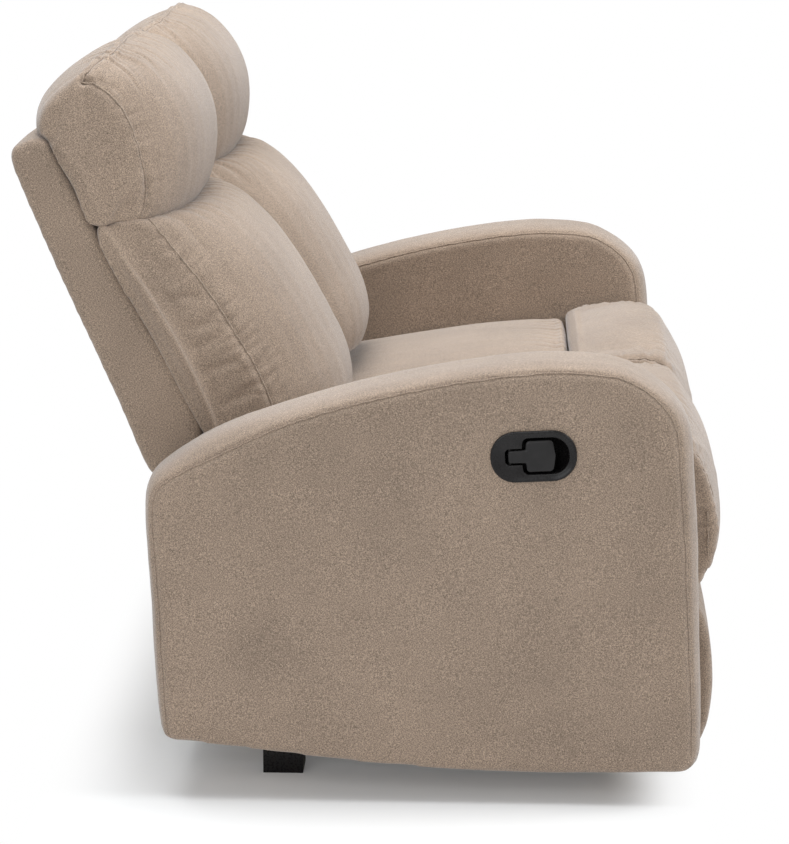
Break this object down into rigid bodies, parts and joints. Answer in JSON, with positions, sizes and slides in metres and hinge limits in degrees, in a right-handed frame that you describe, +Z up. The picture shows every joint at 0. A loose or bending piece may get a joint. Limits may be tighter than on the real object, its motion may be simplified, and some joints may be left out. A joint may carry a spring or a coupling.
{
  "type": "reclining sofa",
  "caption": "Reclining loveseat with curved padded arms, a head pillow and lumbar cushion on each back, rolled footrests and a sunken pull handle in each arm.",
  "frame": {"origin": "on the floor, under the middle of the sofa's bounding box", "axes": "+Z up, the front faces -Y, +X along the width from the near arm to the far arm"},
  "size_m": [1.29, 1.006, 1.0203],
  "materials": {
    "upholstery": "matte",
    "wood": "matte",
    "steel": "satin",
    "spring_steel": "satin",
    "black_plastic": "satin"
  },
  "bodies": {
    "base": {"arm_pad_near": "upholstery", "seat_cushion_near": "upholstery", "arm_frame_near": "wood", "side_plate_near_outer": "steel", "side_plate_near_inner": "steel", "seat_frame_near": "steel", "handle_cup_near": "black_plastic", "release_cable_near": "black_plastic", "return_spring_near": "spring_steel", "arm_pad_far": "upholstery", "seat_cushion_far": "upholstery", "arm_frame_far": "wood", "side_plate_far_outer": "steel", "side_plate_far_inner": "steel", "seat_frame_far": "steel", "handle_cup_far": "black_plastic", "release_cable_far": "black_plastic", "return_spring_far": "spring_steel", "base_rail_front": "wood", "base_rail_rear": "wood", "rear_panel": "wood", "feet": "black_plastic", "foot_bolts": "steel", "plate_pins": "steel", "recline_pins": "steel", "seat_springs": "spring_steel"},
    "handle_near": {"handle_paddle_near": "black_plastic"},
    "front_arms_near": {"front_arms_near": "steel", "front_arm_pins_near": "steel"},
    "rear_arms_near": {"rear_arms_near": "steel", "rear_arm_pins_near": "steel"},
    "couplers_near": {"couplers_near": "steel"},
    "control_links_near": {"control_links_near": "steel"},
    "footrest_near": {"footrest_board_near": "wood", "footrest_brackets_near": "steel", "footrest_pins_near": "steel", "knee_roll_near": "upholstery", "lower_pad_near": "upholstery"},
    "back_near": {"back_frame_near": "wood", "recline_brackets_near": "steel", "back_shell_near": "upholstery", "head_pillow_near": "upholstery", "lumbar_cushion_near": "upholstery"},
    "handle_far": {"handle_paddle_far": "black_plastic"},
    "front_arms_far": {"front_arms_far": "steel", "front_arm_pins_far": "steel"},
    "rear_arms_far": {"rear_arms_far": "steel", "rear_arm_pins_far": "steel"},
    "couplers_far": {"couplers_far": "steel"},
    "control_links_far": {"control_links_far": "steel"},
    "footrest_far": {"footrest_board_far": "wood", "footrest_brackets_far": "steel", "footrest_pins_far": "steel", "knee_roll_far": "upholstery", "lower_pad_far": "upholstery"},
    "back_far": {"back_frame_far": "wood", "recline_brackets_far": "steel", "back_shell_far": "upholstery", "head_pillow_far": "upholstery", "lumbar_cushion_far": "upholstery"}
  },
  "joints": [
    {"name": "handle_pull_near", "type": "hinge", "parent": "base", "child": "handle_near", "pos_m": [-0.637, -0.18804, 0.49633], "axis": [0, -0.0523, -0.9986], "range_deg": [0, 30], "stiffness_Nm_per_rad": 0.5, "springref_deg": -11.46, "deforming": ["return_spring_near"]},
    {"name": "footrest_swing_near", "type": "hinge", "parent": "base", "child": "front_arms_near", "pos_m": [-0.257, -0.3, 0.333], "axis": [-1, 0, 0], "range_deg": [0, 86]},
    {"name": "rear_arm_swing_near", "type": "hinge", "parent": "base", "child": "rear_arms_near", "pos_m": [-0.257, -0.23414, 0.27166], "axis": [-1, 0, 0], "range_deg": [0, 86]},
    {"name": "coupler_turn_near", "type": "hinge", "parent": "front_arms_near", "child": "couplers_near", "pos_m": [-0.257, -0.234, 0.195], "axis": [-1, 0, 0], "range_deg": [-86, 0]},
    {"name": "control_turn_near", "type": "hinge", "parent": "front_arms_near", "child": "control_links_near", "pos_m": [-0.257, -0.20811, 0.14087], "axis": [-1, 0, 0], "range_deg": [-86, 0]},
    {"name": "footrest_turn_near", "type": "hinge", "parent": "couplers_near", "child": "footrest_near", "pos_m": [-0.257, -0.38, 0.331], "axis": [-1, 0, 0], "range_deg": [0, 86]},
    {"name": "back_recline_near", "type": "hinge", "parent": "base", "child": "back_near", "pos_m": [-0.257, 0.265, 0.395], "axis": [-1, 0, 0], "range_deg": [0, 30]},
    {"name": "handle_pull_far", "type": "hinge", "parent": "base", "child": "handle_far", "pos_m": [0.637, -0.18804, 0.49633], "axis": [0, 0.0523, 0.9986], "range_deg": [0, 30], "stiffness_Nm_per_rad": 0.5, "springref_deg": -11.46, "deforming": ["return_spring_far"]},
    {"name": "footrest_swing_far", "type": "hinge", "parent": "base", "child": "front_arms_far", "pos_m": [0.257, -0.3, 0.333], "axis": [-1, 0, 0], "range_deg": [0, 86]},
    {"name": "rear_arm_swing_far", "type": "hinge", "parent": "base", "child": "rear_arms_far", "pos_m": [0.257, -0.23414, 0.27166], "axis": [-1, 0, 0], "range_deg": [0, 86]},
    {"name": "coupler_turn_far", "type": "hinge", "parent": "front_arms_far", "child": "couplers_far", "pos_m": [0.257, -0.234, 0.195], "axis": [-1, 0, 0], "range_deg": [-86, 0]},
    {"name": "control_turn_far", "type": "hinge", "parent": "front_arms_far", "child": "control_links_far", "pos_m": [0.257, -0.20811, 0.14087], "axis": [-1, 0, 0], "range_deg": [-86, 0]},
    {"name": "footrest_turn_far", "type": "hinge", "parent": "couplers_far", "child": "footrest_far", "pos_m": [0.257, -0.38, 0.331], "axis": [-1, 0, 0], "range_deg": [0, 86]},
    {"name": "back_recline_far", "type": "hinge", "parent": "base", "child": "back_far", "pos_m": [0.257, 0.265, 0.395], "axis": [-1, 0, 0], "range_deg": [0, 30]}
  ],
  "couplings": [
    {"joint": "rear_arm_swing_near", "follows": "footrest_swing_near", "ratio": 1},
    {"joint": "coupler_turn_near", "follows": "footrest_swing_near", "ratio": -1},
    {"joint": "control_turn_near", "follows": "footrest_swing_near", "ratio": -1},
    {"joint": "footrest_turn_near", "follows": "footrest_swing_near", "ratio": 1},
    {"joint": "rear_arm_swing_far", "follows": "footrest_swing_far", "ratio": 1},
    {"joint": "coupler_turn_far", "follows": "footrest_swing_far", "ratio": -1},
    {"joint": "control_turn_far", "follows": "footrest_swing_far", "ratio": -1},
    {"joint": "footrest_turn_far", "follows": "footrest_swing_far", "ratio": 1}
  ]
}
